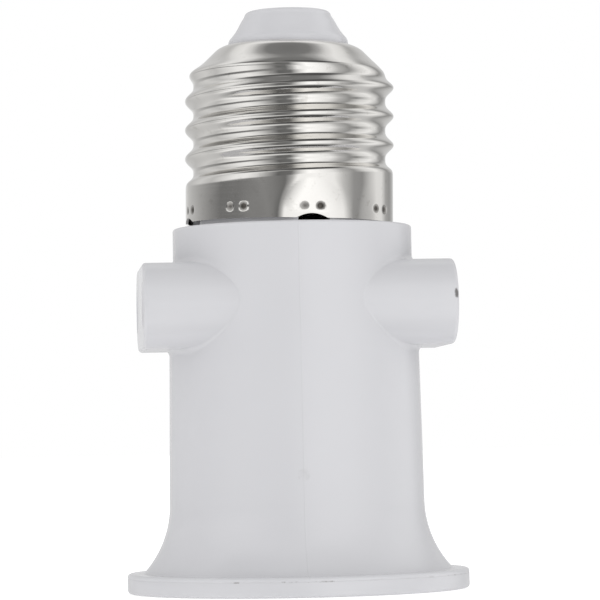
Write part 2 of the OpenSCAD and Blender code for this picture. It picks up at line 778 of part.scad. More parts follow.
// Routes of the wires, as distance from the axis and height
live_path = curve([
    [wire_tab_y, ledge_h + brass_t + 0.9],
    [wire_tab_y - 0.1, ledge_h + brass_t + 2.9],
    [wire_tab_y - 1.7 * sleeve_r, pin_z + sleeve_r],
    [wire_tab_y - 2.6 * sleeve_r, chamber_z + 2 * sleeve_r],
    [wire_tab_y - 3.6 * sleeve_r, thread_z + 4 * sleeve_r],
    [0.9, neck_bore_z],
    [0, neck_bore_z + 3],
    [0, tip_bore_z],
    [0, tip_z]
]);
neutral_path = curve([
    [wire_tab_y / cos(stake_turn), ledge_h + brass_t + 0.9],
    [wire_tab_y / cos(stake_turn) - 0.1, ledge_h + brass_t + 2.9],
    [wire_tab_y - 1.3 * sleeve_r, pin_z + sleeve_r],
    [wire_tab_y - 0.3 * sleeve_r, chamber_z - sleeve_r],
    [neck_bore_r - 2 * sleeve_r, collar_z - 0.8 * sleeve_r],
    [neck_bore_r - 0.3, collar_z + window_h / 2 + 0.05],
    [neck_skirt_r - core_r - 0.7, collar_z + window_h / 2 + 0.25],
    [neck_skirt_r - core_r - 0.06, collar_z + window_h + 0.5],
    [neck_skirt_r - core_r - 0.06, groove_top - 0.3]
]);

module live_core() color("chocolate") rotate([0, 0, -quarter_turn]) core(live_path);

module live_sleeve() color("brown") rotate([0, 0, -quarter_turn])
    sleeve(live_path, wire_steps + 1, 2 * wire_steps);

module neutral_core() color("chocolate") rotate([0, 0, wire_window_angle]) core(neutral_path);

module neutral_sleeve() color("royalblue") rotate([0, 0, wire_window_angle])
    sleeve(neutral_path, wire_steps + 1, 4 * wire_steps);

housing();
cap_shell();
cap_contact();
tip_solder();
socket_base();
lamp_shell();
lamp_tongue();
live_contact_bar();
neutral_contact_bar();
live_rivet();
neutral_rivet();
live_core();
live_sleeve();
neutral_core();
neutral_sleeve();
base_screw_left();
base_screw_right();
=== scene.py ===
# Lamp socket adapter: a male screw cap on top, a two-pin outlet on each side and
# a lamp socket that opens downward inside the flared skirt. Metres, Z up, standing on its rim.
import math

import bmesh
import bpy
from mathutils import Matrix, Vector


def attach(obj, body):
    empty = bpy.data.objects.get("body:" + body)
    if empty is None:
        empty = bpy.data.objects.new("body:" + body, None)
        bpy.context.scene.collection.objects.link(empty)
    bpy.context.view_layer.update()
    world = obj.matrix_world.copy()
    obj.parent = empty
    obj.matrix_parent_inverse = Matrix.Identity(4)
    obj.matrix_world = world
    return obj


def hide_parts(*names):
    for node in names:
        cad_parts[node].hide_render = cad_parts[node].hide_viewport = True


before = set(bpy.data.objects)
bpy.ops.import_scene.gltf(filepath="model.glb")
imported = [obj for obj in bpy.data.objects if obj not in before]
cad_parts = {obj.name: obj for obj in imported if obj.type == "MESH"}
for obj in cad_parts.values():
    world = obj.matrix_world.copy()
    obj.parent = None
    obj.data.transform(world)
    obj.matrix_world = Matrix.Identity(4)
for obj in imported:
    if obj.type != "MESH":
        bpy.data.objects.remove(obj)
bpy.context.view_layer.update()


# Camera
# A long lens from the front, a little below the middle of the adapter, so it looks
# slightly up at the outlets' undersides. It leans a little, and sees the adapter turned by 5 degrees.
camera_data = bpy.data.cameras.new("camera")
camera_data.lens = 191.19
camera_data.sensor_width = 36
camera = bpy.data.objects.new("camera", camera_data)
bpy.context.scene.collection.objects.link(camera)
bpy.context.scene.camera = camera

camera_turn = math.radians(-4.907)
camera_pitch = math.radians(2.501)
camera_roll = math.radians(-1.144)
level_right = Vector((1, 0, 0))
look_ahead = Vector((0, math.cos(camera_pitch), math.sin(camera_pitch)))
look_up = Vector((0, -math.sin(camera_pitch), math.cos(camera_pitch)))
rolled_right = math.cos(camera_roll) * level_right + math.sin(camera_roll) * look_up
rolled_up = -math.sin(camera_roll) * level_right + math.cos(camera_roll) * look_up
camera_axes = Matrix((rolled_right, rolled_up, -look_ahead)).transposed()
camera_axes = Matrix.Rotation(camera_turn, 3, "Z") @ camera_axes
camera.matrix_world = Matrix.Translation((-0.03326, -0.39739, 0.018755)) @ camera_axes.to_4x4()


# Studio
# A white room with a pale floor and soft lamps all round, the front one high up. What the metal
# mirrors is a tent of lit and grey panels, far outside every view.
def link(tree, value, socket):
    """Sets an input to a number or colour, or joins it to another node's output."""
    if isinstance(value, bpy.types.NodeSocket):
        tree.links.new(value, socket)
    else:
        socket.default_value = value


def maths(tree, operation, *values, clamp=False):
    node = tree.nodes.new("ShaderNodeMath")
    node.operation = operation
    node.use_clamp = clamp
    for value, socket in zip(values, node.inputs):
        link(tree, value, socket)
    return node.outputs[0]


def ramp(tree, value, stops):
    """A colour ramp through (place, grey or colour) stops."""
    node = tree.nodes.new("ShaderNodeValToRGB")
    elements = node.color_ramp.elements
    while len(elements) < len(stops):
        elements.new(0.5)
    for element, (place, colour) in zip(elements, stops):
        element.position = place
        element.color = (*colour, 1) if isinstance(colour, tuple) else (colour, colour, colour, 1)
    link(tree, value, node.inputs[0])
    return node.outputs[0]


def levels(tree, value, low, high, from_low=0.0, from_high=1.0, soft=False):
    """Maps a value onto a range, held at its ends."""
    node = tree.nodes.new("ShaderNodeMapRange")
    node.interpolation_type = "SMOOTHSTEP" if soft else "LINEAR"
    link(tree, value, node.inputs["Value"])
    for name, number in (("From Min", from_low), ("From Max", from_high), ("To Min", low), ("To Max", high)):
        link(tree, number, node.inputs[name])
    return node.outputs["Result"]


def blended(tree, share, first, second):
    """Mixes two colours, or node outputs, by a share."""
    node = tree.nodes.new("ShaderNodeMix")
    node.data_type = "RGBA"
    link(tree, share, node.inputs["Factor"])
    for value, socket in ((first, node.inputs[6]), (second, node.inputs[7])):
        link(tree, (*value, 1) if isinstance(value, tuple) else value, socket)
    return node.outputs[2]


world = bpy.data.worlds.new("white_room")
bpy.context.scene.world = world
world.use_nodes = True
room = world.node_tree
room.nodes.clear()
seen_by = room.nodes.new("ShaderNodeLightPath")
seen = maths(room, "ADD", seen_by.outputs["Is Camera Ray"], seen_by.outputs["Is Glossy Ray"])
seen = maths(room, "ADD", seen, seen_by.outputs["Is Transmission Ray"], clamp=True)
walls_seen = room.nodes.new("ShaderNodeBackground")
walls_light = room.nodes.new("ShaderNodeBackground")
walls_light.inputs["Strength"].default_value = 0.76
walls_seen.inputs["Color"].default_value = (1, 1, 1, 1)
walls_light.inputs["Color"].default_value = (1, 1, 1, 1)
room_mix = room.nodes.new("ShaderNodeMixShader")
room_out = room.nodes.new("ShaderNodeOutputWorld")
room.links.new(seen, room_mix.inputs[0])
room.links.new(walls_light.outputs[0], room_mix.inputs[1])
room.links.new(walls_seen.outputs[0], room_mix.inputs[2])
room.links.new(room_mix.outputs[0], room_out.inputs[0])


def new_material(name):
    """An empty node material with its output; returns the material, its tree and the output."""
    material = bpy.data.materials.new(name)
    material.use_nodes = True
    material.node_tree.nodes.clear()
    return material, material.node_tree, material.node_tree.nodes.new("ShaderNodeOutputMaterial")


def plain_object(name, mesh):
    piece = bpy.data.objects.new(name, mesh)
    bpy.context.scene.collection.objects.link(piece)
    return piece


floor_mesh = bpy.data.meshes.new("floor")
floor_z = -0.00004
floor_corners = [(-4, -4, floor_z), (4, -4, floor_z), (4, 4, floor_z), (-4, 4, floor_z)]
floor_mesh.from_pydata(floor_corners, [], [(0, 1, 2, 3)])
floor = plain_object("floor", floor_mesh)
floor_paint, tree, out = new_material("floor_paint")
floor_board = tree.nodes.new("ShaderNodeBsdfDiffuse")
floor_board.inputs["Color"].default_value = (0.92, 0.92, 0.92, 1)
floor_glow = tree.nodes.new("ShaderNodeEmission")
floor_glow.inputs["Color"].default_value = (1, 1, 1, 1)
floor_sum = tree.nodes.new("ShaderNodeAddShader")
floor_path = tree.nodes.new("ShaderNodeLightPath")
seen_glow = maths(tree, "MULTIPLY", floor_path.outputs["Is Camera Ray"], 0.08)
link(tree, maths(tree, "ADD", seen_glow, 0.38), floor_glow.inputs["Strength"])
tree.links.new(floor_board.outputs[0], floor_sum.inputs[0])
tree.links.new(floor_glow.outputs[0], floor_sum.inputs[1])
floor_sides = tree.nodes.new("ShaderNodeMixShader")
tree.links.new(tree.nodes.new("ShaderNodeNewGeometry").outputs["Backfacing"], floor_sides.inputs[0])
tree.links.new(floor_sum.outputs[0], floor_sides.inputs[1])
tree.links.new(tree.nodes.new("ShaderNodeBsdfTransparent").outputs[0], floor_sides.inputs[2])
tree.links.new(floor_sides.outputs[0], out.inputs[0])
floor_mesh.materials.append(floor_paint)


def soft_lamp(name, azimuth, elevation, distance, size, power):
    """A square soft box that faces the middle of the adapter. Azimuth 0 is the front, 90 the right."""
    lamp_data = bpy.data.lights.new(name, "AREA")
    lamp_data.shape = "SQUARE"
    lamp_data.size = size
    lamp_data.energy = power
    lamp = plain_object(name, lamp_data)
    a, e = math.radians(azimuth), math.radians(elevation)
    side = Vector((math.sin(a) * math.cos(e), -math.cos(a) * math.cos(e), math.sin(e)))
    lamp.location = side * distance + Vector((0, 0, 0.036))
    lamp.rotation_euler = side.to_track_quat("Z", "Y").to_euler()
    lamp.visible_camera = False
    lamp.visible_glossy = False


soft_lamp("front_soft_box", -8, 54, 0.9, 0.6, 0.75)
soft_lamp("right_soft_box", 55, 12, 0.9, 0.6, 0.9)
soft_lamp("left_soft_box", -60, 6, 1.0, 0.7, 0.8)
soft_lamp("back_soft_box", 170, 30, 1.0, 0.7, 0.9)

# The tent of panels: how bright it is at each angle from the camera, left to right, in a level
# strip and just above and below it, and at each height in front of and behind the adapter
tent_rows, tent_columns, tent_radius = 24, 48, 2
tent_points, tent_faces = [], []
for row in range(tent_rows + 1):
    rise = math.radians(-90 + 180 * row / tent_rows)
    for k in range(tent_columns):
        turn = 2 * math.pi * k / tent_columns
        flat = tent_radius * math.cos(rise)
        tent_points.append((flat * math.cos(turn), flat * math.sin(turn), tent_radius * math.sin(rise)))
for row in range(tent_rows):
    for k in range(tent_columns):
        n = (k + 1) % tent_columns
        first = row * tent_columns
        tent_faces.append((first + k, first + n, first + tent_columns + n, first + tent_columns + k))
tent_mesh = bpy.data.meshes.new("tent")
tent_mesh.from_pydata(tent_points, [], tent_faces)
tent = plain_object("tent", tent_mesh)
tent.visible_camera = False
tent.visible_diffuse = False
tent.visible_shadow = False
tent.visible_transmission = False
floor.visible_glossy = False
panel_light, tree, out = new_material("panel_light")
place = tree.nodes.new("ShaderNodeTexCoord")
apart = tree.nodes.new("ShaderNodeSeparateXYZ")
tree.links.new(place.outputs["Object"], apart.inputs[0])
camera_side = math.radians(-94.78)
turned_x = maths(
    tree, "ADD",
    maths(tree, "MULTIPLY", apart.outputs[0], math.cos(camera_side)),
    maths(tree, "MULTIPLY", apart.outputs[1], math.sin(camera_side)),
)
turned_y = maths(
    tree, "SUBTRACT",
    maths(tree, "MULTIPLY", apart.outputs[1], math.cos(camera_side)),
    maths(tree, "MULTIPLY", apart.outputs[0], math.sin(camera_side)),
)
around = maths(tree, "ARCTAN2", turned_y, turned_x)
around = maths(tree, "ADD", maths(tree, "DIVIDE", around, 2 * math.pi), 0.5)
rise = maths(tree, "ARCSINE", maths(tree, "DIVIDE", apart.outputs[2], tent_radius))
rise = maths(tree, "ADD", maths(tree, "DIVIDE", rise, math.pi), 0.5)


def tent_ramp(value, low, span, stops):
    return ramp(tree, value, [((place - low) / span, level) for place, level in stops])


level_panels = tent_ramp(around, -180, 360, [
    (-180, 0.90), (-150, 0.60), (-124, 0.45), (-98, 0.29), (-80, 0.18), (-60, 0.19), (-30, 0.27),
    (-18, 0.24), (-4, 0.17), (4, 0.50), (10, 1.06), (30, 1.10), (50, 1.00), (62, 0.60), (76, 0.33),
    (88, 0.30), (100, 0.60), (112, 0.86), (124, 0.84), (134, 0.42), (146, 0.34), (158, 0.50), (180, 0.90),
])
beside_panels = tent_ramp(around, -180, 360, [
    (-180, 0.70), (-148, 0.58), (-118, 0.72), (-97, 0.58), (-80, 0.78), (-65, 0.95), (-51, 1.00),
    (-38, 0.80), (-26, 0.46), (-13, 0.15), (2, 0.17), (13, 0.84), (22, 1.24), (36, 1.08), (49, 0.90),
    (62, 0.52), (77, 0.34), (94, 0.78), (113, 1.00), (128, 0.66), (140, 0.32), (158, 0.60), (180, 0.70),
])
front_panels = tent_ramp(rise, -90, 180, [
    (-90, 0.10), (-62, 0.08), (-54, 0.30), (-44, 0.86), (-32, 0.80), (-20, 0.40), (20, 0.30),
    (32, 0.62), (44, 0.70), (52, 0.20), (62, 0.07), (76, 0.16), (90, 0.26),
])
back_panels = tent_ramp(rise, -90, 180, [
    (-90, 0.17), (-60, 0.22), (-45, 0.60), (-20, 0.70), (20, 0.66), (37, 0.44), (47, 0.82), (56, 0.92),
    (62, 0.74), (67, 0.44), (73, 0.22), (90, 0.17),
])
behind = levels(
    tree, maths(tree, "ABSOLUTE", maths(tree, "SUBTRACT", around, 0.5)), 0, 1, 0.22, 0.34, soft=True
)
front_share = tent_ramp(around, -180, 360, [
    (-180, 1.0), (-100, 1.0), (-60, 1.0), (-25, 0.9), (0, 0.62), (30, 0.56), (80, 0.56), (120, 0.85),
    (180, 1.0),
])
front_level = maths(tree, "MULTIPLY", maths(tree, "MULTIPLY", front_panels, front_share), 1.3)
high_or_low = blended(tree, behind, front_level, back_panels)
strip_rise = 0.523
above_strip = maths(tree, "ABSOLUTE", maths(tree, "SUBTRACT", rise, strip_rise))
beside = blended(tree, levels(tree, above_strip, 0, 1, 0.014, 0.038, soft=True), level_panels, beside_panels)
panel_level = blended(tree, levels(tree, above_strip, 0, 1, 0.17, 0.26, soft=True), beside, high_or_low)
panel_glow = tree.nodes.new("ShaderNodeEmission")
tree.links.new(panel_level, panel_glow.inputs["Color"])
tree.links.new(panel_glow.outputs[0], out.inputs[0])
tent_mesh.materials.append(panel_light)
bpy.context.scene.view_settings.view_transform = "Standard"


# Housing
# One white plastic moulding: rim, flare, round body, collar with the two outlets, and the neck
# and insulating tip inside the cap. Its mould parted in the plane between the outlets.
mm = 0.001


def arc(centre_r, centre_z, radius, start, stop, steps):
    """Points on an arc, as (radius, height) in millimetres; angles in degrees."""
    angles = [math.radians(start + (stop - start) * i / steps) for i in range(steps + 1)]
    return [(centre_r + radius * math.cos(a), centre_z + radius * math.sin(a)) for a in angles]


def eased(low, high, value):
    t = min(1, max(0, (value - low) / (high - low)))
    return t * t * (3 - 2 * t)


def turned(name, outline, angles, closed=False):
    """A turned mesh from an outline of (radius, height), in metres; a closed outline makes a ring."""
    made = bmesh.new()
    rows = []
    for radius, height in outline:
        if radius < 1e-9:
            rows.append([made.verts.new((0, 0, height * mm))] * len(angles))
        else:
            rows.append([
                made.verts.new((radius * math.cos(a) * mm, radius * math.sin(a) * mm, height * mm))
                for a in angles
            ])
    pairs = list(zip(rows, rows[1:]))
    if closed:
        pairs.append((rows[-1], rows[0]))
    for lower, upper in pairs:
        for k in range(len(angles)):
            n = (k + 1) % len(angles)
            corners = []
            for corner in (lower[k], lower[n], upper[n], upper[k]):
                if corner not in corners:
                    corners.append(corner)
            made.faces.new(corners)
    return as_mesh(name, made)


def as_mesh(name, made):
    """Closes a bmesh with its faces outward, smooth but for its sharp edges."""
    bmesh.ops.recalc_face_normals(made, faces=made.faces)
    mesh = bpy.data.meshes.new(name)
    made.to_mesh(mesh)
    made.free()
    mesh.shade_smooth()
    mesh.set_sharp_from_angle(angle=math.radians(32))
    return mesh


def lofted(name, rings):
    """A closed solid through rings of points in millimetres, with a flat face at each end."""
    made = bmesh.new()
    rows = [[made.verts.new((x * mm, y * mm, z * mm)) for x, y, z in ring] for ring in rings]
    for lower, upper in zip(rows, rows[1:]):
        for k in range(len(lower)):
            n = (k + 1) % len(lower)
            made.faces.new((lower[k], lower[n], upper[n], upper[k]))
    made.faces.new(rows[0])
    made.faces.new(rows[-1])
    return as_mesh(name, made)


def circle(radius, x, y, z, axis, steps=64):
    """Points of a circle across the X or Z axis."""
    points = []
    for k in range(steps):
        a, b = radius * math.cos(2 * math.pi * k / steps), radius * math.sin(2 * math.pi * k / steps)
        points.append((x, y + a, z + b) if axis == "x" else (x + a, y + b, z))
    return points


def block(name, low, high, turn=0):
    """A box between two corners, turned about the Z axis by an angle in degrees."""
    (x0, y0, z0), (x1, y1, z1) = low, high
    c, s = math.cos(math.radians(turn)), math.sin(math.radians(turn))
    corners = [(x0, y0), (x1, y0), (x1, y1), (x0, y1)]
    return lofted(name, [[(c * x - s * y, s * x + c * y, z) for x, y in corners] for z in (z0, z1)])


def combined(name, first, steps):
    """Joins and cuts closed meshes in order: steps holds (operation, mesh)."""
    base = plain_object(name, first)
    tools = []
    for operation, mesh in steps:
        tool = plain_object(name + "_tool", mesh)
        tools.append(tool)
        change = base.modifiers.new("change", "BOOLEAN")
        change.operation = operation
        change.solver = "MANIFOLD"
        change.object = tool
    result = bpy.data.meshes.new_from_object(base.evaluated_get(bpy.context.evaluated_depsgraph_get()))
    for tool in tools:
        bpy.data.objects.remove(tool)
    bpy.data.objects.remove(base)
    return result


def finished(name, mesh, material, node, body="adapter"):
    """The piece that a mesh makes: it rides on its body and stands for its CAD node."""
    mesh.name = name
    mesh.materials.clear()
    mesh.materials.append(material)
    piece = plain_object(name, mesh)
    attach(piece, body)
    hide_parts(node)
    return piece


rim_r, rim_h, flare_h, body_r, body_top_r = 21.3, 2.44, 11, 15.9, 15.6
flare_arc, body_wall, ledge_z, shoulder_z, collar_r = 12.5, 1.8, 29, 45.24, 14.95
seam_z = rim_h - 0.56


def flare_r(arc_radius, z):
    return body_r + flare_arc - math.sqrt(arc_radius ** 2 - (flare_h - z) ** 2)


def body_radius(z):
    """Radius of the body or collar at a height, past the flare."""
    if z > 30.12:
        return body_top_r + (collar_r - body_top_r) * eased(30.12, 40.68, z)
    return body_r + (body_top_r - body_r) * (z - flare_h) / (30.12 - flare_h)


flare_inner = [flare_h * i / 24 for i in range(24, -1, -1)]
outline = [(0, ledge_z), (10, ledge_z), (14, ledge_z), (14.1, ledge_z - 0.1)]
outline += [(body_r - body_wall, z) for z in (28, 24, 20, 16, 12)]
outline += [(flare_r(flare_arc + body_wall, z), z) for z in flare_inner]
outline += arc(rim_r - 0.4, 0.4, 0.4, -90, 0, 8)
outline += [(rim_r, 1.2), (rim_r, seam_z - 0.12), (rim_r - 0.01, seam_z - 0.05), (rim_r - 0.035, seam_z)]
outline += [(rim_r - 0.012, seam_z + 0.05), (rim_r - 0.004, seam_z + 0.12)]
outline += arc(rim_r - 0.4, rim_h - 0.4, 0.4, 5, 90, 8)
outline += [(flare_r(flare_arc, z), z) for z in [rim_h + (flare_h - rim_h) * i / 40 for i in range(41)]]
outline += [(body_radius(z), z) for z in [flare_h + (28 - flare_h) * i / 30 for i in range(1, 31)]]
outline += [(body_radius(z), z) for z in [28 + 0.4 * i for i in range(1, 42)]]
outline += arc(collar_r - 0.35, shoulder_z - 0.35, 0.35, 0, 90, 8)
outline += [(14.2, shoulder_z), (13.2, shoulder_z), (12.4, shoulder_z), (12.3, shoulder_z + 0.05)]
outline += [(12.3, 47), (12.3, 48.5), (12.3, 49.99), (11.4, 51.19), (11.4, 55), (11.4, 60), (11.4, 64)]
outline += arc(10.55, 64.05, 0.85, 0, 45, 6)
outline += [(9.6, 66.4), (8.93, 67.07), (8.3, 67.38), (7.68, 67.68), (7.6, 67.75), (7.56, 68.1), (7.5, 68.62)]
outline += [
    (7.36, 68.95), (6.97, 69.4), (6.6, 69.9), (6.28, 70.42), (6.01, 70.95), (5.73, 71.42), (5.54, 71.7)
]
outline += arc(4.85, 71.8, 0.6, 10, 90, 8)
outline += [(4.6, 72.4), (3.5, 72.4), (0, 72.4)]
round_angles = [2 * math.pi * k / 288 for k in range(288)]
body_mesh = turned("body", outline, round_angles)

# Each outlet runs out of the collar with a soft fillet round its root, as a ball rolled along
# the corner would leave it
pin_z, pin_y, port_reach, port_half_h, port_arc_y, port_edge = 35.4, 9.5, 19.2, 5.28, 7.96, 0.5
fillet = 0.8
round_steps, flat_steps = 26, 44
port_round = []
for i in range(round_steps):
    a = math.radians(-90 + 180 * i / round_steps)
    port_round.append(
        (port_arc_y + port_half_h * math.cos(a), port_half_h * math.sin(a), math.cos(a), math.sin(a))
    )
for i in range(flat_steps):
    port_round.append((port_arc_y - 2 * port_arc_y * i / flat_steps, port_half_h, 0, 1))
for i in range(round_steps):
    a = math.radians(90 + 180 * i / round_steps)
    port_round.append(
        (-port_arc_y + port_half_h * math.cos(a), port_half_h * math.sin(a), math.cos(a), math.sin(a))
    )
for i in range(flat_steps):
    port_round.append((-port_arc_y + 2 * port_arc_y * i / flat_steps, -port_half_h, 0, -1))


def port_profile(y, dz, out_y, out_z):
    """Points (distance out from the outlet's wall, X) from inside the collar to the end face."""
    def wall_x(d):
        across, height = y + out_y * d, pin_z + dz + out_z * d
        return math.sqrt(max(body_radius(height) ** 2 - across ** 2, 0.01))
    tries = [2 * fillet * i / 80 for i in range(81)]
    rest = [wall_x(d) + math.sqrt(max(fillet ** 2 - (d - fillet) ** 2, 0)) for d in tries]
    centre_x = max(rest)
    touch = tries[rest.index(centre_x)]
    centre_x -= 0.006
    low = math.atan2(wall_x(touch) - 0.006 - centre_x, touch - fillet)
    if low > 0:
        low -= 2 * math.pi
    points = [(touch, 5)]
    for i in range(10):
        a = low + (-math.pi - low) * i / 9
        points.append((fillet + fillet * math.cos(a), centre_x + fillet * math.sin(a)))
    start, stop = centre_x, port_reach - port_edge
    points += [(0, start + (stop - start) * i / 6) for i in range(1, 7)]
    for i in range(1, 9):
        a = math.pi / 2 * i / 8
        points.append((-port_edge + port_edge * math.cos(a), stop + port_edge * math.sin(a)))
    points.append((-port_edge - 0.15, port_reach))
    return points


profiles = [port_profile(*spot) for spot in port_round]
port_meshes = []
for side in (1, -1):
    rings = [
        [
            (side * profile[row][1], y + out_y * profile[row][0], pin_z + dz + out_z * profile[row][0])
            for (y, dz, out_y, out_z), profile in zip(port_round, profiles)
        ]
        for row in range(len(profiles[0]))
    ]
    port_meshes.append(lofted("outlet", rings))

# What the moulding's cores leave: the contact chamber, the wires' way up the neck, the pin holes,
# the neck's windows with the wire's groove, and the seat of the centre contact
cuts = []
chamber_half = 6.504
chamber_side = math.degrees(math.asin(chamber_half / 13.6))
chamber_arc = [math.radians(90 - chamber_side + 2 * chamber_side * i / 24) for i in range(25)]
chamber_arc += [a + math.pi for a in chamber_arc]
cuts.append(
    lofted(
        "chamber", [[(13.6 * math.cos(a), 13.6 * math.sin(a), z) for a in chamber_arc] for z in (28.5, 41.8)]
    )
)
neck_half = chamber_half - 0.2
neck_side = math.degrees(math.asin(neck_half / 10))
neck_arc = [math.radians(90 - neck_side + 2 * neck_side * i / 16) for i in range(17)]
neck_arc += [a + math.pi for a in neck_arc]
cuts.append(
    lofted("neck_bore", [[(10 * math.cos(a), 10 * math.sin(a), z) for a in neck_arc] for z in (41.3, 62.45)])
)
cuts.append(
    turned("cone_bore", [(0, 61.95), (6.3, 61.95), (6.3, 62.45), (3, 70), (0, 70)], round_angles[::4])
)
for side in (1, -1):
    for y in (pin_y, -pin_y):
        cuts.append(lofted("pin_hole", [
            circle(2.4, side * 6.0, y, pin_z, "x"), circle(2.4, side * 18.8, y, pin_z, "x"),
            circle(2.8, side * 19.2, y, pin_z, "x"), circle(3.2, side * 19.6, y, pin_z, "x"),
        ]))
stake_turn = 8.4
for k in range(4):
    cuts.append(block("neck_window", (5.8, -2, 45.34), (13, 2, 46.94), stake_turn - 90 + 90 * k))
cuts.append(block("wire_groove", (11.5, -0.6, 46.34), (13, 0.6, 49.69), stake_turn + 90))
cuts.append(turned("contact_seat", [(0, 71.9), (3.4, 71.9), (3.4, 72.9), (0, 72.9)], round_angles[::4]))
cuts.append(turned("shank_hole", [(0, 69.5), (1.25, 69.5), (1.25, 72.2), (0, 72.2)], round_angles[::6]))
for x in (-9.6, 9.6):
    cuts.append(lofted("screw_hole", [circle(1.25, x, 0, z, "z", 32) for z in (28.5, 37.5)]))

housing_mesh = combined(
    "housing", body_mesh,
    [("UNION", mesh) for mesh in port_meshes] + [("DIFFERENCE", mesh) for mesh in cuts],
)
housing_mesh.shade_smooth()
housing_mesh.set_sharp_from_angle(angle=math.radians(32))


def noise(tree, scale, detail=2.0, vector=None, roughness=0.5):
    node = tree.nodes.new("ShaderNodeTexNoise")
    node.inputs["Scale"].default_value = scale
    node.inputs["Detail"].default_value = detail
    node.inputs["Roughness"].default_value = roughness
    if vector is None:
        vector = tree.nodes.new("ShaderNodeTexCoord").outputs["Object"]
    tree.links.new(vector, node.inputs["Vector"])
    return node.outputs[0]


def stretched(tree, scale, centre=(0, 0, 0)):
    """Object coordinates stretched by a scale on each axis."""
    coordinates = tree.nodes.new("ShaderNodeTexCoord")
    mapping = tree.nodes.new("ShaderNodeMapping")
    mapping.inputs["Location"].default_value = centre
    mapping.inputs["Scale"].default_value = scale
    tree.links.new(coordinates.outputs["Object"], mapping.inputs["Vector"])
    return mapping.outputs[0]


def bumped(tree, height, distance, onto=None):
    node = tree.nodes.new("ShaderNodeBump")
    node.inputs["Strength"].default_value = 1
    node.inputs["Distance"].default_value = distance
    tree.links.new(height, node.inputs["Height"])
    if onto is not None:
        tree.links.new(onto, node.inputs["Normal"])
    return node.outputs[0]


def surface(tree, out, colour, roughness, normal=None, metallic=0.0, ior=1.5):
    shader = tree.nodes.new("ShaderNodeBsdfPrincipled")
    link(tree, (*colour, 1) if isinstance(colour, tuple) else colour, shader.inputs["Base Color"])
    link(tree, roughness, shader.inputs["Roughness"])
    shader.inputs["Metallic"].default_value = metallic
    shader.inputs["IOR"].default_value = ior
    if normal is not None:
        tree.links.new(normal, shader.inputs["Normal"])
    tree.links.new(shader.outputs[0], out.inputs[0])
    return shader


white_plastic, tree, out = new_material("white_plastic")
where = tree.nodes.new("ShaderNodeSeparateXYZ")
tree.links.new(tree.nodes.new("ShaderNodeTexCoord").outputs["Object"], where.inputs[0])
parting_x = -0.00042
from_parting = maths(tree, "ABSOLUTE", maths(tree, "SUBTRACT", where.outputs[0], parting_x))
wander = levels(tree, noise(tree, 260), -0.00002, 0.00002)
parting = levels(tree, maths(tree, "ADD", from_parting, wander), 1, 0, 0.00003, 0.00011, soft=True)
below_shoulder = levels(tree, where.outputs[2], 1, 0, 0.0449, 0.0452)
above_seam = levels(tree, where.outputs[2], 0, 1, (seam_z + 0.1) * mm, (seam_z + 0.4) * mm)
parting = maths(tree, "MULTIPLY", maths(tree, "MULTIPLY", parting, below_shoulder), above_seam)
patchy = levels(tree, noise(tree, 90, 3), 0.35, 1, 0.35, 0.65)
parting = maths(tree, "MULTIPLY", parting, patchy)
# Painted shade in the rim's seam groove: the seam is coloured dark brown, faintly all round, and in noisy
# dashes that are strongest at the front.
from_seam = maths(tree, "ABSOLUTE", maths(tree, "SUBTRACT", where.outputs[2], seam_z * mm))
in_seam = levels(tree, from_seam, 1, 0, 0.00005, 0.00013, soft=True)
outer_side = maths(tree, "SQRT", maths(
    tree, "ADD",
    maths(tree, "MULTIPLY", where.outputs[0], where.outputs[0]),
    maths(tree, "MULTIPLY", where.outputs[1], where.outputs[1]),
))
in_seam = maths(tree, "MULTIPLY", in_seam, maths(tree, "GREATER_THAN", outer_side, 0.0209))
seam_darkening = levels(tree, noise(tree, 620, 3, roughness=0.7), 0, 1, 0.52, 0.66)
elsewhere = levels(tree, noise(tree, 70, 2), 0, 0.5, 0.5, 0.62, soft=True)
from_middle = maths(tree, "ABSOLUTE", maths(tree, "ADD", where.outputs[0], 0.0025))
at_front = maths(
    tree, "MULTIPLY", levels(tree, from_middle, 1, 0, 0.006, 0.009),
    maths(tree, "LESS_THAN", where.outputs[1], 0)
)
seam_dash_share = maths(
    tree, "ADD", maths(tree, "MULTIPLY", elsewhere, maths(tree, "SUBTRACT", 1, at_front)), at_front
)
seam_darkening = maths(tree, "MULTIPLY", maths(tree, "MULTIPLY", seam_darkening, seam_dash_share), 0.6)
seam_darkening = maths(tree, "MULTIPLY", in_seam, maths(tree, "ADD", seam_darkening, 0.03))
resin = blended(
    tree, levels(tree, noise(tree, 45, 3), 0, 1, 0.35, 0.7), (0.622, 0.622, 0.645), (0.637, 0.637, 0.658)
)
resin = blended(tree, maths(tree, "MULTIPLY", parting, 0.1), resin, (0.45, 0.45, 0.45))
# Paints the seam groove's shade and dashes in dark brown.
resin = blended(tree, seam_darkening, resin, (0.10, 0.085, 0.07))


def distance_from(tree, point, scale=(1, 1, 1)):
    """Distance from a point, in object coordinates stretched by a scale on each axis."""
    node = tree.nodes.new("ShaderNodeVectorMath")
    node.operation = "DISTANCE"
    node.inputs[0].default_value = [place * stretch for place, stretch in zip(point, scale)]
    tree.links.new(stretched(tree, scale), node.inputs[1])
    return node.outputs["Value"]


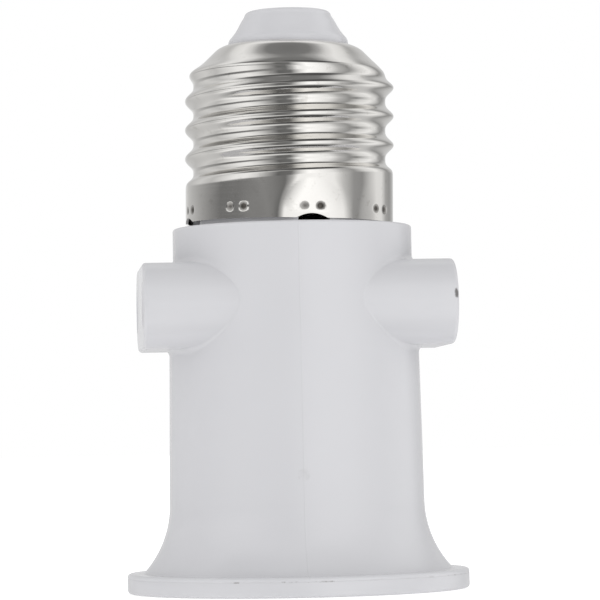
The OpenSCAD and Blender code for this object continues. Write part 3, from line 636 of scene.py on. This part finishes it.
gate_z = 0.0145
from_gate = distance_from(tree, (parting_x, -body_radius(gate_z / mm) * mm, gate_z))
gate_disc = levels(tree, from_gate, 1, 0, 0.00062, 0.00086, soft=True)
gate_rough = maths(tree, "MULTIPLY", gate_disc, levels(tree, noise(tree, 1500, 3), 0.2, 1, 0.35, 0.65))
resin = blended(tree, maths(tree, "MULTIPLY", gate_rough, 0.22), resin, (0.45, 0.45, 0.45))
from_speck = distance_from(tree, (0.0189, -0.0131, 0.0362), (1, 1, 0.45))
speck_size = maths(tree, "ADD", from_speck, levels(tree, noise(tree, 2400, 2), -0.00012, 0.00012))
speck = levels(tree, speck_size, 0.8, 0, 0.00016, 0.00036, soft=True)
resin = blended(tree, speck, resin, (0.06, 0.055, 0.05))
sink = bumped(tree, noise(tree, 75, 1), 0.00006)
grain = bumped(tree, noise(tree, 2600, 2), 0.0000012, sink)
ridge = bumped(tree, maths(tree, "ADD", parting, maths(tree, "MULTIPLY", gate_rough, 1.5)), 0.000014, grain)
gloss = levels(tree, noise(tree, 140, 3), 0.17, 0.26, 0.3, 0.7)
surface(tree, out, resin, gloss, ridge, ior=1.49)
finished("moulded_housing", housing_mesh, white_plastic, "housing")


# Screw cap
# The male screw shell: thin steel sheet drawn to a cup, its thread rolled in, bright nickel
# plated. It is staked to the neck by eight pairs of punch marks.
cap_z, thread_z, dome_z = 45.69, 49.99, 64.05
skirt_r, crest_r, root_r, sheet = 13.0, 13.1, 12.05, 0.35


def spread_angles(count, pairs, first):
    """Angles round a circle, closer together at the pairs of stake marks."""
    angles = []
    for k in range(count):
        t = 2 * math.pi * k / count
        angles.append(t - 0.6 / pairs * math.sin(pairs * (t - first)))
    return angles


def cup(name, outline, angles):
    """A thin open skin, turned from an outline of (radius, height)."""
    made = bmesh.new()
    rows = [
        [made.verts.new((r * math.cos(a) * mm, r * math.sin(a) * mm, z * mm)) for a in angles]
        for r, z in outline
    ]
    for lower, upper in zip(rows, rows[1:]):
        for k in range(len(angles)):
            n = (k + 1) % len(angles)
            made.faces.new((lower[k], lower[n], upper[n], upper[k]))
    mesh = bpy.data.meshes.new(name)
    made.to_mesh(mesh)
    made.free()
    return mesh


def thread_rolling_tree():
    """Geometry nodes that roll a screw thread, stake marks and edge notches into a plain cup."""
    tree = bpy.data.node_groups.new("roll the thread", "GeometryNodeTree")
    tree.interface.new_socket("Sheet", in_out="INPUT", socket_type="NodeSocketGeometry")
    for name in (
        "Pitch", "Thread height", "Crest at", "Start", "Start slant", "End", "Run-in", "Run-out",
        "Stake turn", "Stake pairs", "Stake spacing", "Stake height", "Stake depth", "Punch radius",
        "Stake wander", "Stake unevenness", "Dish depth", "Dish radius", "Crest sharpness",
        "Notch turn", "Notch width", "Notch height", "Lower edge", "Lean", "Lean about",
    ):
        tree.interface.new_socket(name, in_out="INPUT", socket_type="NodeSocketFloat")
    tree.interface.new_socket("Finish", in_out="INPUT", socket_type="NodeSocketMaterial")
    tree.interface.new_socket("Sheet", in_out="OUTPUT", socket_type="NodeSocketGeometry")
    given = tree.nodes.new("NodeGroupInput").outputs
    position = tree.nodes.new("GeometryNodeInputPosition").outputs[0]
    split = tree.nodes.new("ShaderNodeSeparateXYZ")
    tree.links.new(position, split.inputs[0])
    x, y, plain_z = split.outputs

    def do(operation, *values, clamp=False):
        return maths(tree, operation, *values, clamp=clamp)

    radius = do("SQRT", do("ADD", do("MULTIPLY", x, x), do("MULTIPLY", y, y)))
    angle = do("ARCTAN2", y, x)

    # Round the thread's start the sheet climbs with the first turn
    start = given["Start"]
    below = levels(
        tree, plain_z, 0, 1, do("SUBTRACT", start, 0.003), do("SUBTRACT", start, 0.0005), soft=True
    )
    above = levels(tree, plain_z, 1, 0, do("ADD", start, 0.0016), do("ADD", start, 0.0052), soft=True)
    climbing = do("MULTIPLY", do("MULTIPLY", below, above), given["Start slant"])
    z = do("ADD", plain_z, do("MULTIPLY", do("COSINE", angle), climbing))

    climb = do("MULTIPLY", do("DIVIDE", do("SUBTRACT", z, given["Crest at"]), given["Pitch"]), 2 * math.pi)
    share = do("MULTIPLY", do("ADD", do("COSINE", do("SUBTRACT", climb, angle)), 1), 0.5)
    share = do("POWER", do("MAXIMUM", share, 0), given["Crest sharpness"])
    run_in = levels(tree, plain_z, 0, 1, start, do("ADD", start, given["Run-in"]), soft=True)
    run_out = levels(tree, z, 1, 0, do("SUBTRACT", given["End"], given["Run-out"]), given["End"], soft=True)
    rolled = do("MULTIPLY", do("MULTIPLY", share, given["Thread height"]), do("MULTIPLY", run_in, run_out))

    # Distance along the skin from the nearest pair of stake marks, then from the nearer mark
    sector = do("DIVIDE", 2 * math.pi, given["Stake pairs"])
    from_first = do("SUBTRACT", angle, given["Stake turn"])
    sway = do("MULTIPLY", do("SINE", from_first), do("SINE", from_first))
    from_first = do("SUBTRACT", from_first, do("MULTIPLY", sway, given["Stake wander"]))
    turn = do("WRAP", from_first, do("MULTIPLY", sector, 0.5), do("MULTIPLY", sector, -0.5))
    aside = do(
        "SUBTRACT", do("ABSOLUTE", do("MULTIPLY", turn, radius)), do("MULTIPLY", given["Stake spacing"], 0.5)
    )
    above = do("SUBTRACT", z, given["Stake height"])
    apart = do("SQRT", do("ADD", do("MULTIPLY", aside, aside), do("MULTIPLY", above, above)))
    bowl = levels(tree, apart, 1, 0, 0, given["Punch radius"], soft=True)
    blow = do("SINE", do("SUBTRACT", do("MULTIPLY", angle, 17), 0.913))
    blow = do("ADD", do("MULTIPLY", blow, given["Stake unevenness"]), given["Stake depth"])
    dent = do("MULTIPLY", bowl, blow)
    across = do("MULTIPLY", turn, radius)
    from_edge = do("SUBTRACT", z, given["Lower edge"])
    from_pair = do("SQRT", do("ADD", do("MULTIPLY", across, across), do("MULTIPLY", from_edge, from_edge)))
    front_most = levels(tree, do("COSINE", from_first), 0.12, 1, 0.75, 0.98, soft=True)
    dish = levels(
        tree, from_pair, do("MULTIPLY", given["Dish depth"], front_most), 0, 0, given["Dish radius"],
        soft=True
    )
    pushed = do("ADD", dent, dish)

    # The lower edge arches up at four notches
    quarter = math.pi / 2
    notch_turn = do("WRAP", do("SUBTRACT", angle, given["Notch turn"]), quarter / 2, -quarter / 2)
    beside = do(
        "DIVIDE", do("ABSOLUTE", do("MULTIPLY", notch_turn, radius)),
        do("MULTIPLY", given["Notch width"], 0.5)
    )
    arch = do("MAXIMUM", do("SUBTRACT", 1, do("MULTIPLY", beside, beside)), 0)
    low_part = levels(tree, z, 1, 0, given["Lower edge"], do("ADD", given["Lower edge"], 0.0011))
    lift = do("MULTIPLY", do("MULTIPLY", arch, low_part), given["Notch height"])

    new_radius = do("SUBTRACT", do("ADD", radius, rolled), pushed)
    scale = do("DIVIDE", new_radius, do("MAXIMUM", radius, 0.000001))
    round_x = do("MULTIPLY", x, scale)
    new_x = do("ADD", round_x, do("MULTIPLY", do("SUBTRACT", z, given["Lean about"]), given["Lean"]))
    new_z = do("SUBTRACT", do("ADD", z, lift), do("MULTIPLY", round_x, given["Lean"]))
    place = tree.nodes.new("ShaderNodeCombineXYZ")
    link(tree, new_x, place.inputs[0])
    link(tree, do("MULTIPLY", y, scale), place.inputs[1])
    link(tree, new_z, place.inputs[2])
    rolling = tree.nodes.new("GeometryNodeSetPosition")
    marking = tree.nodes.new("GeometryNodeStoreNamedAttribute")
    marking.data_type = "FLOAT"
    marking.domain = "POINT"
    marking.inputs["Name"].default_value = "dent"
    tree.links.new(given["Sheet"], marking.inputs["Geometry"])
    link(tree, do("DIVIDE", dent, do("MAXIMUM", given["Stake depth"], 0.00001)), marking.inputs["Value"])
    tree.links.new(marking.outputs[0], rolling.inputs["Geometry"])
    tree.links.new(place.outputs[0], rolling.inputs["Position"])
    smooth = tree.nodes.new("GeometryNodeSetShadeSmooth")
    tree.links.new(rolling.outputs[0], smooth.inputs[0])
    real = tree.nodes.new("GeometryNodeRealizeInstances")
    tree.links.new(smooth.outputs[0], real.inputs[0])
    finish = tree.nodes.new("GeometryNodeSetMaterial")
    tree.links.new(real.outputs[0], finish.inputs["Geometry"])
    tree.links.new(given["Finish"], finish.inputs["Material"])
    result = tree.nodes.new("NodeGroupOutput")
    tree.links.new(finish.outputs[0], result.inputs[0])
    return tree


def rolled_shell(name, cup_mesh, tree, values, thickness, outward):
    """Rolls a cup and gives its skin a thickness; the skin given is the face that's seen."""
    work = plain_object(name + "_work", cup_mesh)
    rolling = work.modifiers.new("roll", "NODES")
    rolling.node_group = tree
    for socket in tree.interface.items_tree:
        if socket.in_out == "INPUT" and socket.name in values:
            rolling[socket.identifier] = values[socket.name]
    wall = work.modifiers.new("wall", "SOLIDIFY")
    wall.thickness = thickness
    wall.offset = 1 if outward else -1
    wall.use_even_offset = False
    mesh = bpy.data.meshes.new_from_object(work.evaluated_get(bpy.context.evaluated_depsgraph_get()))
    bpy.data.objects.remove(work)
    mesh.shade_smooth()
    mesh.set_sharp_from_angle(angle=math.radians(50))
    return mesh


nickel_plate, tree, out = new_material("nickel_plate")
streaks = noise(tree, 1, 4, stretched(tree, (60, 60, 5200)), 0.6)
clouds = noise(tree, 150, 3)
plate = blended(tree, levels(tree, clouds, 0, 1, 0.3, 0.7), (0.785, 0.770, 0.740), (0.835, 0.820, 0.795))
tarnish = levels(tree, noise(tree, 700, 4, roughness=0.65), 0, 0.5, 0.60, 0.78)
plate = blended(tree, tarnish, plate, (0.52, 0.50, 0.46))
punched = tree.nodes.new("ShaderNodeAttribute")
punched.attribute_name = "dent"
# Painted shade in the stake marks: each punched dent is coloured grey at its edge and nearly black in its
# middle.
painted_dent_shade = maths(
    tree, "ADD",
    levels(tree, punched.outputs["Fac"], 0, 0.55, 0.005, 0.12, soft=True),
    levels(tree, punched.outputs["Fac"], 0, 0.40, 0.25, 0.85, soft=True),
)
plate = blended(tree, painted_dent_shade, plate, (0.085, 0.075, 0.065))
polish = maths(
    tree, "ADD", levels(tree, streaks, 0.025, 0.075, 0.3, 0.7), levels(tree, clouds, 0.0, 0.03, 0.35, 0.7)
)
scuffed = levels(tree, punched.outputs["Fac"], 0, 0.3, 0.02, 0.4, soft=True)
polish = maths(tree, "ADD", polish, scuffed)
rolled_marks = bumped(tree, streaks, 0.0000022)
dull = bumped(tree, noise(tree, 330, 2), 0.0000060, rolled_marks)
surface(tree, out, plate, polish, dull, metallic=1.0)

rolling_tree = thread_rolling_tree()
cap_outline = [(skirt_r, cap_z + 0.06 * i) for i in range(37)]
cap_outline += [(skirt_r, cap_z + 2.16 + 0.2 * i) for i in range(1, 11)]
skirt_top = cap_z + 4.16
for i in range(1, 75):
    z = skirt_top + (dome_z - skirt_top) * i / 75
    cap_outline.append((root_r + (skirt_r - root_r) * (1 - eased(thread_z + 1.1, thread_z + 2.1, z)), z))
cap_outline += arc(root_r - 1.3, dome_z, 1.3, 0, 45, 9)
cone_r, cone_z = cap_outline[-1]
cap_outline += [(cone_r - (cone_r - 9.35) * i / 6, cone_z + (cone_r - 9.35) * i / 6) for i in range(1, 7)]
cap_outline += [(9.15, 67.46), (8.9, 67.63), (8.6, 67.79), (8.3, 67.92), (8.05, 68.01), (7.95, 68.04)]
cap_mesh = rolled_shell(
    "cap", cup("cap", cap_outline, spread_angles(288, 8, math.radians(stake_turn - 90))), rolling_tree,
    {
        "Pitch": 3.629 * mm, "Thread height": (crest_r - root_r) * mm, "Crest at": 52.01 * mm,
        "Start": (thread_z + 1.15) * mm, "End": (dome_z + 2.15) * mm, "Run-in": 1 * mm, "Run-out": 3.4 * mm,
        "Start slant": 0.87 * mm,
        "Stake turn": math.radians(stake_turn - 90), "Stake pairs": 8.0, "Stake spacing": 2.05 * mm,
        "Stake height": (cap_z + 1.45) * mm, "Stake depth": 0.13 * mm, "Punch radius": 0.7 * mm,
        "Notch turn": math.radians(stake_turn - 90), "Notch width": 4 * mm, "Notch height": 0.55 * mm,
        "Stake wander": math.radians(4.5), "Stake unevenness": 0.045 * mm, "Crest sharpness": 1.6,
        "Dish depth": 0.55 * mm, "Dish radius": 5.4 * mm,
        "Lower edge": cap_z * mm, "Lean": math.radians(1.1), "Lean about": 61 * mm, "Finish": nickel_plate,
    },
    0.3 * mm, outward=False,
)
finished("rolled_cap_shell", cap_mesh, nickel_plate, "cap_shell")


# Centre contact
# A flanged hollow rivet of brass, let into the tip and closed by a dot of solder that holds the
# live wire.
brass, tree, out = new_material("brass")
aged = levels(tree, noise(tree, 420, 4, roughness=0.6), 0, 1, 0.35, 0.7)
brass_colour = blended(tree, aged, (0.80, 0.62, 0.30), (0.62, 0.45, 0.20))
brass_lines = noise(tree, 1, 3, stretched(tree, (300, 300, 4000)))
surface(
    tree, out, brass_colour, levels(tree, aged, 0.20, 0.38), bumped(tree, brass_lines, 0.000003), metallic=1.0
)

solder, tree, out = new_material("solder")
solder_colour = blended(
    tree, levels(tree, noise(tree, 1500, 3), 0, 1, 0.4, 0.65), (0.62, 0.62, 0.61), (0.45, 0.45, 0.44)
)
surface(tree, out, solder_colour, 0.32, bumped(tree, noise(tree, 1300, 2), 0.00002), metallic=1.0)


def dressed(node, material):
    """Gives a CAD node its finish."""
    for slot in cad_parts[node].material_slots:
        slot.material = material


dressed("cap_contact", brass)
dressed("tip_solder", solder)


# Lamp socket
# A ceramic base carries the female screw shell, whose flat web is riveted and screwed to it, and
# the sprung bronze tongue that a lamp's end contact presses up.
ceramic, tree, out = new_material("base_ceramic")
body_clay = blended(
    tree, levels(tree, noise(tree, 260, 4), 0, 1, 0.35, 0.65), (0.78, 0.76, 0.71), (0.70, 0.68, 0.62)
)
specks = levels(tree, noise(tree, 2100, 2), 0, 0.35, 0.66, 0.74)
body_clay = blended(tree, specks, body_clay, (0.35, 0.32, 0.28))
surface(tree, out, body_clay, 0.45, bumped(tree, noise(tree, 1500, 3), 0.00001), ior=1.52)
dressed("socket_base", ceramic)

lamp_outline = [(13.32, 8.15 + 0.2 * i) for i in range(4)]
for i in range(1, 71):
    z = 8.75 + (25.2 - 8.75) * i / 70
    lip = 1 - eased(8.75, 9.95, z)
    band = eased(24.0, 25.4, z)
    lamp_outline.append((12.24 + 1.08 * lip + 0.78 * band, z))
lamp_outline += [
    (12.98, 25.38), (12.8, 25.45), (12.4, 25.46), (11, 25.46), (9, 25.46), (7.8, 25.46), (7.6, 25.46)
]
lamp_mesh = rolled_shell(
    "lamp_socket", cup("lamp_socket", lamp_outline, [2 * math.pi * k / 216 for k in range(216)]),
    rolling_tree,
    {
        "Pitch": 3.629 * mm, "Thread height": 1.08 * mm, "Crest at": 0.0,
        "Start": 8.75 * mm, "End": 25.0 * mm, "Run-in": 1.2 * mm, "Run-out": 1.1 * mm,
        "Stake pairs": 8.0, "Stake height": -0.05, "Stake depth": 0.0, "Punch radius": 0.0001,
        "Dish radius": 0.001, "Crest sharpness": 1.0,
        "Notch width": 0.004, "Notch height": 0.0, "Lower edge": 0.0, "Finish": nickel_plate,
    },
    0.25 * mm, outward=True,
)
finished("rolled_lamp_shell", lamp_mesh, nickel_plate, "lamp_shell")

spring_bronze, tree, out = new_material("spring_bronze")
rolled_lines = noise(tree, 1, 3, stretched(tree, (250, 4200, 250)))
bronze_colour = blended(
    tree, levels(tree, noise(tree, 500, 3), 0, 1, 0.35, 0.7), (0.70, 0.46, 0.27), (0.56, 0.34, 0.18)
)
surface(
    tree, out, bronze_colour, levels(tree, rolled_lines, 0.2, 0.34), bumped(tree, rolled_lines, 0.000003),
    metallic=1.0
)
dressed("lamp_tongue", spring_bronze)

zinc, tree, out = new_material("zinc_screw")
spangle = levels(tree, noise(tree, 1200, 3), 0, 1, 0.35, 0.65)
zinc_colour = blended(tree, spangle, (0.60, 0.60, 0.61), (0.47, 0.47, 0.48))
surface(
    tree, out, zinc_colour, levels(tree, spangle, 0.28, 0.42), bumped(tree, spangle, 0.000004), metallic=1.0
)
dressed("base_screw_left", zinc)
dressed("base_screw_right", zinc)
dressed("live_rivet", brass)
dressed("neutral_rivet", brass)


# Contact bars and wires
# Stamped brass bars with a pair of jaws for each outlet, and one stranded copper wire from each:
# brown to the tip, blue to the screw shell.
dressed("live_contact_bar", brass)
dressed("neutral_contact_bar", brass)

copper, tree, out = new_material("copper")
strands = noise(tree, 1, 2, stretched(tree, (4500, 4500, 500)))
copper_colour = blended(tree, strands, (0.78, 0.42, 0.28), (0.60, 0.28, 0.17))
surface(tree, out, copper_colour, 0.28, bumped(tree, strands, 0.00003), metallic=1.0)
dressed("live_core", copper)
dressed("neutral_core", copper)


def insulation(name, light, dark):
    material, tree, out = new_material(name)
    colour = blended(tree, levels(tree, noise(tree, 600, 3), 0, 1, 0.3, 0.7), light, dark)
    surface(tree, out, colour, 0.46, bumped(tree, noise(tree, 2200, 2), 0.000006), ior=1.52)
    return material


dressed("live_sleeve", insulation("brown_insulation", (0.16, 0.062, 0.026), (0.12, 0.045, 0.02)))
dressed("neutral_sleeve", insulation("blue_insulation", (0.03, 0.12, 0.42), (0.022, 0.09, 0.34)))
